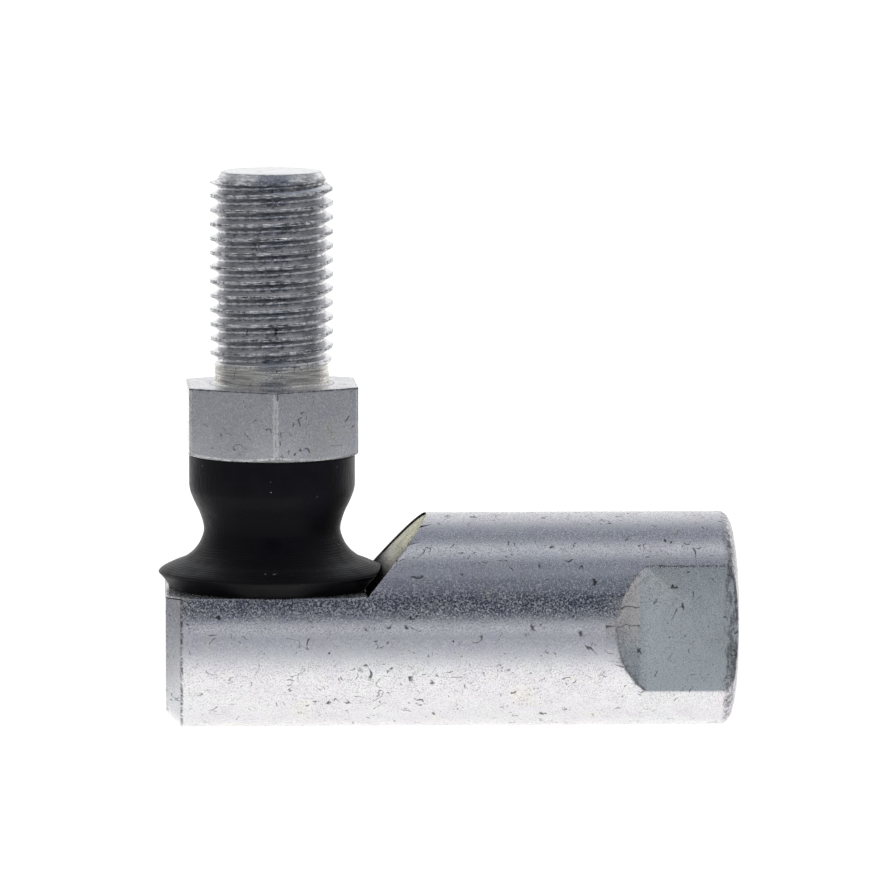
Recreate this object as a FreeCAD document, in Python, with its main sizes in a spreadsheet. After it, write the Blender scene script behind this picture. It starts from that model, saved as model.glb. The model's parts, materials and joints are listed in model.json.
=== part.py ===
import FreeCAD, Part
import Sketcher
import os

# Angle ball joint for a control linkage. A round bar is the housing: its left end is cut down to a
# flat, with a ball socket bored into it from above, and its right end has a female thread and two
# wrench flats. A ball stud with a hexagon and a threaded shank stands in the socket.
# Millimetres. The origin is the mouth of the rod thread, +X points out of it, +Z is up along the stud.

SIZES = {
    # the bar
    "bar_diameter": 19.05,
    "bar_length": 50.8,
    "ball_from_left": 9.525,
    "left_chamfer": 1.4,
    "right_chamfer": 1.15,
    # the seat cut into the bar's left end
    "seat_height": 3.05,
    "seat_to_slope": 8.25,
    "slope_angle": 50.0,
    # the wrench flats at the right end
    "wrench_across": 15.4,
    "wrench_length": 11.03,
    "wrench_cutter_radius": 7.15,
    # the female thread, drawn at its major diameter
    "rod_thread_diameter": 11.112,
    "rod_thread_wall": 5.2,
    "rod_thread_mouth": 0.5,
    "drill_point_angle": 118.0,
    # the ball stud
    "ball_diameter": 12.7,
    "neck_diameter": 8.0,
    "hex_across": 15.0,
    "hex_bottom": 14.9,
    "hex_height": 6.3,
    "hex_turn": 1.5,
    "hex_corner_angle": 17.0,
    "shank_thread_diameter": 10.97,
    "shank_length": 18.9,
    "shank_chamfer": 0.95,
    # the two halves of the plastic seat, and what holds them down
    "race_wall": 1.0,
    "race_split": 0.1,
    "race_collar_wall": 0.97,
    "race_below_seat": 0.35,
    "spring_thickness": 0.35,
    "ring_thickness": 0.7,
    "ring_below_seat": 0.46,
    "ring_bite": 0.45,
    "ring_gap": 4.0,
    "socket_mouth": 0.15,
    # the rubber boot
    "boot_wall": 1.2,
    "boot_collar_diameter": 14.77,
    "boot_collar_height": 2.8,
    "boot_waist_diameter": 12.16,
    "boot_waist_height": 8.2,
    "boot_lip_diameter": 20.3,
    "boot_lip_height": 1.3,
    "boot_foot_diameter": 18.5,
    "neck_ring_wire": 1.0,
    # gaps
    "running_gap": 0.03,
    "seat_gap": 0.02,
    "collar_gap": 0.1,
    "soft_gap": 0.05,
    "slope_gap": 0.3,
}

doc = FreeCAD.newDocument("angle_ball_joint")
sheet = doc.addObject("Spreadsheet::Sheet", "Sizes")
for row, (alias, value) in enumerate(SIZES.items(), start=1):
    sheet.set(f"A{row}", alias)
    sheet.set(f"B{row}", str(value))
    sheet.setAlias(f"B{row}", alias)
doc.recompute()


def bound(expression):
    """The expression with each size's name led by the sheet's, and its value now."""
    words = []
    word = ""
    for letter in expression + " ":
        if letter.isalnum() or letter == "_":
            word += letter
            continue
        words.append("Sizes." + word if word in SIZES else word)
        words.append(letter)
        word = ""
    full = "".join(words).strip()
    return full, float(sheet.evalExpression(full))


def origin_plane(body, role):
    return next(o for o in body.Origin.OriginFeatures if o.Role == role)


def new_body(name):
    body = doc.addObject("PartDesign::Body", name)
    body.Label = name
    return body


def pin_point(sketch, curve, end, across, up):
    """Fix one coordinate, or both, of a curve's end to expressions; None leaves one free."""
    for kind, expression in (("DistanceX", across), ("DistanceY", up)):
        if expression is None:
            continue
        full, value = bound(expression)
        index = sketch.addConstraint(Sketcher.Constraint(kind, -1, 1, curve, end, value))
        sketch.setExpression(f"Constraints[{index}]", full)


def outline(body, name, role, steps, axis=None):
    """A closed sketch outline on one of the body's origin planes.

    Each step is a corner (across, up), or (across, up, arc) where the edge that leaves the corner is
    an arc (centre across, centre up, radius, counter-clockwise). An axis is a vertical construction
    line at that distance across.
    """
    sketch = body.newObject("Sketcher::SketchObject", name)
    sketch.AttachmentSupport = [(origin_plane(body, role), "")]
    sketch.MapMode = "FlatFace"
    corners = [FreeCAD.Vector(bound(step[0])[1], bound(step[1])[1], 0) for step in steps]
    if axis is not None:
        x = bound(axis)[1]
        line = Part.LineSegment(FreeCAD.Vector(x, 0, 0), FreeCAD.Vector(x, 1, 0))
        turned = sketch.addGeometry(line, True)
        pin_point(sketch, turned, 1, axis, "0")
        pin_point(sketch, turned, 2, axis, "1")
    curves = []
    for step, start, end in zip(steps, corners, corners[1:] + corners[:1]):
        if len(step) == 2:
            curves.append((sketch.addGeometry(Part.LineSegment(start, end)), 1, 2))
            continue
        across, up, radius, forward = step[2]
        centre = FreeCAD.Vector(bound(across)[1], bound(up)[1], 0)
        circle = Part.Circle(centre, FreeCAD.Vector(0, 0, 1), bound(radius)[1])
        ends = (start, end) if forward else (end, start)
        angles = [circle.parameter(point) for point in ends]
        index = sketch.addGeometry(Part.ArcOfCircle(circle, *angles))
        curves.append((index, 1, 2) if forward else (index, 2, 1))
        pin_point(sketch, index, 3, across, up)
    for place, (curve, first, last) in enumerate(curves):
        following, following_first, _ = curves[(place + 1) % len(curves)]
        sketch.addConstraint(Sketcher.Constraint("Coincident", curve, last, following, following_first))
    for place, step in enumerate(steps):
        curve, first, _ = curves[place]
        before = steps[place - 1]
        # an arc's own end needs one coordinate less, because the circle gives the other
        on_arc = len(step) == 3 or len(before) == 3
        if not on_arc:
            pin_point(sketch, curve, first, step[0], step[1])
            continue
        arc = step[2] if len(step) == 3 else before[2]
        beside = abs(corners[place].x - bound(arc[0])[1]) < abs(corners[place].y - bound(arc[1])[1])
        pin_point(sketch, curve, first, step[0] if beside else None, None if beside else step[1])
    for place, step in enumerate(steps):
        if len(step) == 3:
            full, value = bound(step[2][2])
            index = sketch.addConstraint(Sketcher.Constraint("Radius", curves[place][0], value))
            sketch.setExpression(f"Constraints[{index}]", full)
    doc.recompute()
    return sketch


def turn(body, name, sketch, axis, kind="PartDesign::Revolution"):
    """A full turn of the sketch, added, or cut away as a PartDesign::Groove."""
    feature = body.newObject(kind, name)
    feature.Profile = sketch
    feature.ReferenceAxis = (sketch, [axis])
    feature.Angle = 360.0
    doc.recompute()
    return feature


def cut_through(body, name, sketch):
    """The sketch cut right through the body, both ways from its plane."""
    feature = body.newObject("PartDesign::Pocket", name)
    feature.Profile = sketch
    feature.Type = "ThroughAll"
    feature.Midplane = True
    doc.recompute()
    return feature


BALL_X = "(ball_from_left - bar_length)"
BAR = "bar_diameter / 2"
SOCKET = "(ball_diameter / 2 + running_gap + race_wall + seat_gap)"
RACE_BORE = "(ball_diameter / 2 + running_gap)"
# the stack that holds the seat down is set out downwards from the flat
RACE_TOP = "(seat_height - race_below_seat)"
RING_TOP = "(seat_height - ring_below_seat)"
RING_BOTTOM = f"({RING_TOP} - ring_thickness)"
RACE_SHOULDER = f"({RING_BOTTOM} - spring_thickness - 2 * seat_gap)"
RACE_COLLAR = f"(sqrt({RACE_BORE} ^ 2 - {RACE_TOP} ^ 2) + race_collar_wall)"
THREAD_BORE = "(rod_thread_diameter / 2)"
DRILL_POINT = f"({THREAD_BORE} / tan(drill_point_angle / 2))"
THREAD_DEPTH = f"(-{BALL_X} - {SOCKET} - rod_thread_wall - {DRILL_POINT})"
BEYOND = "2"


def from_ball(radius):
    return f"{BALL_X} + {radius}"


def make_housing():
    body = new_body("housing")
    bar = outline(body, "bar_outline", "XZ_Plane", [
        ("-bar_length", "0"),
        ("0", "0"),
        ("0", f"{BAR} - right_chamfer"),
        ("-right_chamfer", BAR),
        ("left_chamfer - bar_length", BAR),
        ("-bar_length", f"{BAR} - left_chamfer"),
    ])
    turn(body, "bar", bar, "H_Axis")
    slope_start = f"{BALL_X} + seat_to_slope"
    slope_rise = f"({BAR} + {BEYOND} - seat_height)"
    seat = outline(body, "seat_outline", "XZ_Plane", [
        (f"-bar_length - {BEYOND}", "seat_height"),
        (slope_start, "seat_height"),
        (f"{slope_start} + {slope_rise} / tan(slope_angle)", f"{BAR} + {BEYOND}"),
        (f"-bar_length - {BEYOND}", f"{BAR} + {BEYOND}"),
    ])
    cut_through(body, "seat_cut", seat)
    # each flat is milled by a cutter that stands square to it, so its inner end is round
    cutter = "(wrench_cutter_radius - wrench_length)"
    flat = outline(body, "wrench_outline", "XZ_Plane", [
        (BEYOND, "-wrench_cutter_radius"),
        (cutter, "-wrench_cutter_radius", (cutter, "0", "wrench_cutter_radius", False)),
        (cutter, "wrench_cutter_radius"),
        (BEYOND, "wrench_cutter_radius"),
    ])
    flat.setExpression("AttachmentOffset.Base.z", bound("wrench_across / 2")[0])
    front = body.newObject("PartDesign::Pocket", "front_flat")
    front.Profile = flat
    front.Type = "ThroughAll"
    front.Reversed = True
    doc.recompute()
    back = body.newObject("PartDesign::Mirrored", "back_flat")
    back.Originals = [front]
    back.MirrorPlane = (origin_plane(body, "XZ_Plane"), [""])
    body.Tip = back
    doc.recompute()
    socket = outline(body, "socket_outline", "XZ_Plane", [
        (BALL_X, f"-{SOCKET}", (BALL_X, "0", SOCKET, True)),
        (from_ball(SOCKET), "0"),
        (from_ball(SOCKET), f"{RING_BOTTOM} - seat_gap"),
        (from_ball(f"{SOCKET} + ring_bite"), f"{RING_BOTTOM} - seat_gap"),
        (from_ball(f"{SOCKET} + ring_bite"), f"{RING_TOP} + seat_gap"),
        (from_ball(SOCKET), f"{RING_TOP} + seat_gap"),
        (from_ball(SOCKET), "seat_height - socket_mouth"),
        (from_ball(f"{SOCKET} + socket_mouth"), "seat_height"),
        (from_ball(f"{SOCKET} + socket_mouth"), f"seat_height + {BEYOND}"),
        (BALL_X, f"seat_height + {BEYOND}"),
    ], axis=BALL_X)
    turn(body, "socket", socket, "Axis0", "PartDesign::Groove")
    hole = outline(body, "rod_thread_outline", "XZ_Plane", [
        (f"-{THREAD_DEPTH} - {DRILL_POINT}", "0"),
        (BEYOND, "0"),
        (BEYOND, f"{THREAD_BORE} + rod_thread_mouth"),
        ("0", f"{THREAD_BORE} + rod_thread_mouth"),
        ("-rod_thread_mouth", THREAD_BORE),
        (f"-{THREAD_DEPTH}", THREAD_BORE),
    ])
    turn(body, "rod_thread", hole, "H_Axis", "PartDesign::Groove")
    return body


def make_lower_race():
    body = new_body("lower_race")
    outer = f"({SOCKET} - seat_gap)"
    cup = outline(body, "cup_outline", "XZ_Plane", [
        (BALL_X, f"-{outer}", (BALL_X, "0", outer, True)),
        (from_ball(outer), "0"),
        (from_ball(RACE_BORE), "0", (BALL_X, "0", RACE_BORE, False)),
        (BALL_X, f"-{RACE_BORE}"),
    ], axis=BALL_X)
    turn(body, "cup", cup, "Axis0")
    return body


def make_upper_race():
    body = new_body("upper_race")
    outer = f"({SOCKET} - seat_gap)"
    at_split = f"sqrt({RACE_BORE} ^ 2 - race_split ^ 2)"
    at_top = f"({RACE_COLLAR} - race_collar_wall)"
    ring = outline(body, "ring_outline", "XZ_Plane", [
        (from_ball(outer), "race_split"),
        (from_ball(outer), RACE_SHOULDER),
        (from_ball(RACE_COLLAR), RACE_SHOULDER),
        (from_ball(RACE_COLLAR), RACE_TOP),
        (from_ball(at_top), RACE_TOP, (BALL_X, "0", RACE_BORE, False)),
        (from_ball(at_split), "race_split"),
    ], axis=BALL_X)
    turn(body, "ring", ring, "Axis0")
    return body


def make_ring(name, inner, outer, bottom, thickness):
    """A flat washer about the ball's axis, as a cut of two cylinders."""
    parts = []
    for part, radius, below in (("outside", outer, "0"), ("inside", inner, BEYOND)):
        piece = doc.addObject("Part::Cylinder", f"{name}_{part}")
        piece.setExpression("Radius", bound(radius)[0])
        piece.setExpression("Height", bound(f"{thickness} + 2 * {below}")[0])
        piece.setExpression("Placement.Base.x", bound(BALL_X)[0])
        piece.setExpression("Placement.Base.z", bound(f"{bottom} - {below}")[0])
        parts.append(piece)
    washer = doc.addObject("Part::Cut", name)
    washer.Base, washer.Tool = parts
    return washer


def make_wave_spring():
    spring = make_ring("wave_spring", f"{RACE_COLLAR} + collar_gap", f"{SOCKET} - collar_gap",
                       f"{RACE_SHOULDER} + seat_gap", "spring_thickness")
    spring.Label = "wave_spring"
    return spring


def make_snap_ring():
    whole = make_ring("snap_ring_whole", f"{RACE_COLLAR} + 2 * collar_gap",
                      f"{SOCKET} + ring_bite - seat_gap", RING_BOTTOM, "ring_thickness")
    gap = doc.addObject("Part::Box", "snap_ring_opening")
    gap.setExpression("Length", bound("ball_diameter")[0])
    gap.setExpression("Width", bound("ring_gap")[0])
    gap.setExpression("Height", bound(f"ring_thickness + 2 * {BEYOND}")[0])
    gap.setExpression("Placement.Base.x", bound(f"{BALL_X} - ball_diameter")[0])
    gap.setExpression("Placement.Base.y", bound("-ring_gap / 2")[0])
    gap.setExpression("Placement.Base.z", bound(f"{RING_BOTTOM} - {BEYOND}")[0])
    ring = doc.addObject("Part::Cut", "snap_ring")
    ring.Label = "snap_ring"
    ring.Base, ring.Tool = whole, gap
    return ring


def make_ball_stud():
    body = new_body("ball_stud")
    ball = "ball_diameter / 2"
    neck = "neck_diameter / 2"
    meeting = f"sqrt(({ball}) ^ 2 - ({neck}) ^ 2)"
    shank = "shank_thread_diameter / 2"
    hex_top = "(hex_bottom + hex_height)"
    middle = "(hex_bottom + hex_height / 2)"
    top = f"({hex_top} + shank_length)"
    core = outline(body, "core_outline", "XZ_Plane", [
        (BALL_X, f"-{ball}", (BALL_X, "0", ball, True)),
        (from_ball(neck), meeting),
        (from_ball(neck), middle),
        (from_ball(shank), middle),
        (from_ball(shank), f"{top} - shank_chamfer"),
        (from_ball(f"{shank} - shank_chamfer"), top),
        (BALL_X, top),
    ], axis=BALL_X)
    turn(body, "core", core, "Axis0")
    hexagon = body.newObject("Sketcher::SketchObject", "hex_outline")
    hexagon.AttachmentSupport = [(origin_plane(body, "XY_Plane"), "")]
    hexagon.MapMode = "FlatFace"
    hexagon.setExpression("AttachmentOffset.Base.x", bound(BALL_X)[0])
    hexagon.setExpression("AttachmentOffset.Base.z", bound("hex_bottom")[0])
    hexagon.setExpression("AttachmentOffset.Rotation.Angle", bound("hex_turn")[0])
    corner, corner_radius = bound("hex_across / sqrt(3)")
    corner_points = [FreeCAD.Vector(0, -corner_radius, 0)]
    for _ in range(5):
        turned = FreeCAD.Rotation(FreeCAD.Vector(0, 0, 1), 60).multVec(corner_points[-1])
        corner_points.append(turned)
    for start, end in zip(corner_points, corner_points[1:] + corner_points[:1]):
        hexagon.addGeometry(Part.LineSegment(start, end))
    circle = Part.Circle(FreeCAD.Vector(0, 0, 0), FreeCAD.Vector(0, 0, 1), corner_radius)
    hexagon.addGeometry(circle, True)
    for side in range(6):
        hexagon.addConstraint(Sketcher.Constraint("Coincident", side, 2, (side + 1) % 6, 1))
        hexagon.addConstraint(Sketcher.Constraint("PointOnObject", side, 1, 6))
        if side:
            hexagon.addConstraint(Sketcher.Constraint("Equal", 0, side))
    hexagon.addConstraint(Sketcher.Constraint("Coincident", 6, 3, -1, 1))
    hexagon.addConstraint(Sketcher.Constraint("PointOnObject", 0, 1, -2))
    size = hexagon.addConstraint(Sketcher.Constraint("Radius", 6, corner_radius))
    hexagon.setExpression(f"Constraints[{size}]", corner)
    doc.recompute()
    pad = body.newObject("PartDesign::Pad", "hexagon")
    pad.Profile = hexagon
    pad.setExpression("Length", bound("hex_height")[0])
    doc.recompute()
    # the corners are turned off at the bottom, down to the flats' own width
    over = f"(hex_across / sqrt(3) + {BEYOND})"
    corners = outline(body, "corners_outline", "XZ_Plane", [
        (from_ball("hex_across / 2"), "hex_bottom"),
        (from_ball(over), f"hex_bottom + ({over} - hex_across / 2) * tan(hex_corner_angle)"),
        (from_ball(over), f"hex_bottom - {BEYOND}"),
        (from_ball("hex_across / 2"), f"hex_bottom - {BEYOND}"),
    ], axis=BALL_X)
    turn(body, "bottom_corners", corners, "Axis0", "PartDesign::Groove")
    return body


def make_dust_boot():
    body = new_body("dust_boot")
    floor = "(seat_height + soft_gap)"
    ceiling = "(hex_bottom - soft_gap)"
    collar = "boot_collar_diameter / 2"
    waist = "boot_waist_diameter / 2"
    lip = "boot_lip_diameter / 2"
    foot = "boot_foot_diameter / 2"
    inside = "(neck_diameter / 2 + soft_gap)"
    collar_bottom = f"({ceiling} - boot_collar_height)"
    lip_top = f"({floor} + boot_lip_height)"
    boot = outline(body, "boot_outline", "XZ_Plane", [
        (from_ball(inside), f"{collar_bottom}"),
        (from_ball(inside), ceiling),
        (from_ball(collar), ceiling),
        (from_ball(collar), collar_bottom),
        (from_ball(waist), "boot_waist_height"),
        (from_ball(lip), lip_top),
        (from_ball(foot), floor),
        (from_ball(f"{foot} - boot_wall"), floor),
        (from_ball(f"{foot} - 1.5 * boot_wall"), f"{floor} + boot_wall"),
        (from_ball(f"{waist} - boot_wall"), "boot_waist_height"),
    ], axis=BALL_X)
    turn(body, "boot", boot, "Axis0")
    # the lip is squeezed flat where it meets the slope of the housing
    slope_start = f"{BALL_X} + seat_to_slope - slope_gap / sin(slope_angle)"
    slope = outline(body, "slope_outline", "XZ_Plane", [
        (f"{slope_start} - {BEYOND} / tan(slope_angle)", f"seat_height - {BEYOND}"),
        (f"{slope_start} + {lip}", f"seat_height - {BEYOND}"),
        (f"{slope_start} + {lip}", f"{BAR}"),
        (f"{slope_start} + ({BAR} - seat_height) / tan(slope_angle)", f"{BAR}"),
    ])
    cut_through(body, "slope_cut", slope)
    # the room for the ring that is moulded into the collar
    wire = "(neck_ring_wire / 2 + seat_gap)"
    middle = f"({inside} + {collar}) / 2"
    level = f"({ceiling} - boot_collar_height / 2)"
    room = outline(body, "ring_room_outline", "XZ_Plane", [
        (from_ball(f"{middle} - {wire}"), f"{level} - {wire}"),
        (from_ball(f"{middle} + {wire}"), f"{level} - {wire}"),
        (from_ball(f"{middle} + {wire}"), f"{level} + {wire}"),
        (from_ball(f"{middle} - {wire}"), f"{level} + {wire}"),
    ], axis=BALL_X)
    turn(body, "ring_room", room, "Axis0", "PartDesign::Groove")
    return body


def make_boot_neck_ring():
    ring = doc.addObject("Part::Torus", "boot_neck_ring")
    ring.Label = "boot_neck_ring"
    middle = "(neck_diameter / 2 + soft_gap + boot_collar_diameter / 2) / 2"
    ring.setExpression("Radius1", bound(middle)[0])
    ring.setExpression("Radius2", bound("neck_ring_wire / 2")[0])
    ring.setExpression("Placement.Base.x", bound(BALL_X)[0])
    ring.setExpression("Placement.Base.z", bound("hex_bottom - soft_gap - boot_collar_height / 2")[0])
    return ring


pieces = [
    make_housing(),
    make_lower_race(),
    make_upper_race(),
    make_wave_spring(),
    make_snap_ring(),
    make_ball_stud(),
    make_dust_boot(),
    make_boot_neck_ring(),
]
doc.recompute()

faults = [o.Label for o in doc.Objects if "Invalid" in o.State or "Error" in o.State]
faults += [p.Label for p in pieces if p.Shape.isNull() or not p.Shape.isValid()]
if faults:
    raise SystemExit("these objects failed: " + ", ".join(faults))

os.makedirs("parts", exist_ok=True)
for piece in pieces:
    piece.Shape.exportStep(f"parts/{piece.Label}.step")
    box = piece.Shape.BoundBox
    print(f"{piece.Label:16s} {piece.Shape.Volume:9.2f} mm3  x {box.XMin:.3f} {box.XMax:.3f}"
          f"  y {box.YMin:.3f} {box.YMax:.3f}  z {box.ZMin:.3f} {box.ZMax:.3f}")
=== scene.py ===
import json
import math
import bpy
import numpy as np
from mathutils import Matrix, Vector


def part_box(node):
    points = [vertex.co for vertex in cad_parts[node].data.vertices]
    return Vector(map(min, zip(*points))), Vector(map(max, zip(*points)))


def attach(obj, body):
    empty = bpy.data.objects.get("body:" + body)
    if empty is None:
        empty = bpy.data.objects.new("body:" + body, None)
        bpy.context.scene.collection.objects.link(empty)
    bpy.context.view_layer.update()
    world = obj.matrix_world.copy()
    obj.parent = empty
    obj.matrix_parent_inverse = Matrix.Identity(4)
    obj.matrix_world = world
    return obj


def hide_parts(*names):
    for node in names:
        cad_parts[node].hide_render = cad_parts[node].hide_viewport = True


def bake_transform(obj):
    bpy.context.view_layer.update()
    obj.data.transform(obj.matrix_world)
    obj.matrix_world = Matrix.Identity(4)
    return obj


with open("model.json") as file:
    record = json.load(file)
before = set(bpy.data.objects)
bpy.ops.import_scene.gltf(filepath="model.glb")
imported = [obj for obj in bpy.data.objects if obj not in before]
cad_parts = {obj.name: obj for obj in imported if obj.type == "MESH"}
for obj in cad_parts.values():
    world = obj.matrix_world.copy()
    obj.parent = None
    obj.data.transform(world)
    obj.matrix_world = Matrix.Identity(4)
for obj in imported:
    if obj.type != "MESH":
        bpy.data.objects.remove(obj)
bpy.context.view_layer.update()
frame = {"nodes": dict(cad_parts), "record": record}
print("frame loaded:", ", ".join(sorted(frame["nodes"])))

mm = 0.001
mounts = {m["name"]: m for m in frame["record"]["mounts"]}
barLow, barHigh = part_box("housing")
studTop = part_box("ball_stud")[1].z
ballX = mounts["stud_thread"]["pos_m"][0]     # the ball's centre is on the bar's own axis
barRadius = barHigh.z


def srgb(hexColour):
    # sRGB hex to the linear colour that a shader socket takes
    parts = [int(hexColour[i:i + 2], 16) / 255 for i in (1, 3, 5)]
    return [p / 12.92 if p <= 0.04045 else ((p + 0.055) / 1.055) ** 2.4 for p in parts] + [1.0]


def addNode(tree, kind, settings=None, inputs=None, output=None):
    # one shader node with its settings and its inputs, each linked to a socket or set to a value; gives the
    # named output, "all" of them, or else the first that the settings leave in use
    node = tree.nodes.new("ShaderNode" + kind)
    for key, value in (settings or {}).items():
        setattr(node, key, value)
    for key, value in (inputs or {}).items():
        if isinstance(value, bpy.types.NodeSocket):
            tree.links.new(value, node.inputs[key])
        else:
            node.inputs[key].default_value = value
    if output == "all":
        return node.outputs
    return node.outputs[output] if output else next((o for o in node.outputs if o.enabled), None)


# settings that many nodes share
add, subtract, multiply, power, larger, above, below, absolute, sine, arcsine, arctan = (
    {"operation": name} for name in (
        "ADD", "SUBTRACT", "MULTIPLY", "POWER", "MAXIMUM", "GREATER_THAN", "LESS_THAN", "ABSOLUTE",
        "SINE", "ARCSINE", "ARCTAN2"))
eased = {"interpolation_type": "SMOOTHSTEP"}
coloured = {"data_type": "RGBA"}


def newMaterial(name):
    material = bpy.data.materials.new(name)
    material.use_nodes = True
    tree = material.node_tree
    tree.nodes.clear()
    return material, tree, addNode(tree, "TexCoord", output="Object")


def setRamp(colour, stops):
    ramp = colour.node.color_ramp
    while len(ramp.elements) > 1:
        ramp.elements.remove(ramp.elements[-1])
    ramp.elements[0].position, ramp.elements[0].color = stops[0]
    for position, stop in stops[1:]:
        ramp.elements.new(position).color = stop
    return colour


def toMesh(name, vertices, faces):
    mesh = bpy.data.meshes.new(name)
    mesh.from_pydata(vertices.tolist(), [], faces)
    mesh.update()
    piece = bpy.data.objects.new(name, mesh)
    bpy.context.scene.collection.objects.link(piece)
    return piece


def surface(name, points, ring=False):
    # a grid of points (rows, columns, 3) made a closed mesh: the columns go round and meet again, and the
    # rows either meet too (ring) or each end row is closed by a fan to its own middle
    rows, columns = points.shape[:2]
    index = np.arange(rows * columns).reshape(rows, columns)
    following = np.roll(index, -1, axis=1)
    if ring:
        low, high = index, np.roll(index, -1, axis=0)
        lowNext, highNext = following, np.roll(following, -1, axis=0)
    else:
        low, high = index[:-1], index[1:]
        lowNext, highNext = following[:-1], following[1:]
    faces = np.stack([low, lowNext, highNext, high], axis=-1).reshape(-1, 4).tolist()
    vertices = points.reshape(-1, 3)
    if not ring:
        first, last = rows * columns, rows * columns + 1
        vertices = np.vstack([vertices, points[0].mean(axis=0), points[-1].mean(axis=0)])
        faces += np.stack([np.full(columns, first), following[0], index[0]], axis=-1).tolist()
        faces += np.stack([np.full(columns, last), index[-1], following[-1]], axis=-1).tolist()
    return toMesh(name, vertices, faces)


def aroundUp(radius, height, angles):
    # points at (radius, angle) about the ball's upright axis; radius and height may change with the angle
    radius, height, angles = np.broadcast_arrays(radius, height, angles)
    return np.stack([ballX + radius * np.cos(angles), radius * np.sin(angles), height], axis=-1)


def aroundBar(radius, along, angles):
    # points at (radius, angle) about the bar's axis, along x
    radius, along, angles = np.broadcast_arrays(radius, along, angles)
    return np.stack([along, radius * np.cos(angles), radius * np.sin(angles)], axis=-1)


def roundedRows(points, sizes, steps=3):
    # every row but the first and last becomes a small quadratic curve that starts and ends its own size away
    # from it, on the lines to its neighbours, and is pulled to the row:
    # P(t) = (1-t)^2 A + 2t(1-t) P + t^2 B
    rows = [points[:1]]
    t = np.linspace(0, 1, steps + 1)[:, None, None]
    for before, corner, after, size in zip(points[:-2], points[1:-1], points[2:], sizes):
        ends = []
        for other in (before, after):
            gap = np.linalg.norm(other - corner, axis=-1, keepdims=True)
            ends.append(corner + (other - corner) * np.minimum(size / np.maximum(gap, 1e-9), 0.45))
        rows.append((1 - t) ** 2 * ends[0] + 2 * t * (1 - t) * corner + t ** 2 * ends[1])
    rows.append(points[-1:])
    return np.concatenate(rows)


def smoothStep(value, low, high):
    t = np.clip((value - low) / (high - low), 0, 1)
    return t * t * (3 - 2 * t)


def throughPoints(knots, count):
    # a smooth curve through the knots: Catmull-Rom pieces, which leave each knot along the line between its
    # neighbours
    knots = np.array(knots, float)
    padded = np.vstack([2 * knots[0] - knots[1], knots, 2 * knots[-1] - knots[-2]])
    steps = np.linspace(0, len(knots) - 1, count)
    part = np.minimum(steps.astype(int), len(knots) - 2)
    t = (steps - part)[:, None]
    a, b, c, d = (padded[part + i] for i in range(4))
    square, cube = 2 * a - 5 * b + 4 * c - d, 3 * b - a - 3 * c + d
    return 0.5 * (2 * b + (c - a) * t + square * t ** 2 + cube * t ** 3)


def shade(piece, material, angle=24):
    piece.data.materials.clear()
    piece.data.materials.append(material)
    piece.data.shade_smooth()
    piece.data.set_sharp_from_angle(angle=math.radians(angle))
    return piece


def bake(piece):
    # the piece with its modifiers applied, and none left on it
    graph = bpy.context.evaluated_depsgraph_get()
    mesh = bpy.data.meshes.new_from_object(piece.evaluated_get(graph))
    piece.modifiers.clear()
    piece.data = mesh
    return piece


def cutAway(piece, cutters):
    for cutter in cutters:
        cut = piece.modifiers.new("cut", "BOOLEAN")
        cut.operation = "DIFFERENCE"
        cut.solver = "EXACT"
        cut.object = cutter
    bake(piece)
    for cutter in cutters:
        bpy.data.objects.remove(cutter)
    return piece


def prism(name, outline, low, high):
    # an outline of x and z, drawn counter-clockwise as seen from -y, pushed along y from low to high
    outline = np.array(outline, float)
    count = len(outline)
    ends = [np.column_stack([outline[:, 0], np.full(count, side), outline[:, 1]]) for side in (low, high)]
    index = np.arange(count)
    following = np.roll(index, -1)
    faces = np.stack([index, index + count, following + count, following], axis=-1).tolist()
    faces += [index.tolist(), (index + count)[::-1].tolist()]
    return toMesh(name, np.vstack(ends), faces)


plating = {
    "base": "#E2E2E5", "cool": "#D6DCE8", "warm": "#EBE6D6", "mauve": "#DDD6E4", "dirt": "#2E2D31",
    "bloom": 0.45,            # how much of the cool, mauve and straw bloom shows
    "cloud": 5.0,             # mm, the size of its patches
    "grain": 0.17,            # mm, the matt grain of the barrel plating, a little coarser than it is
    "grainHeight": 0.014,     # mm
    "grainShade": 0.10,
    "mattSpots": 0.62,        # how much rougher the small matt spots are
    "roughness": (0.10, 0.20),
    "edgeWidth": 0.28,        # mm, how far in from an edge it is dark and knocked
}


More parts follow.
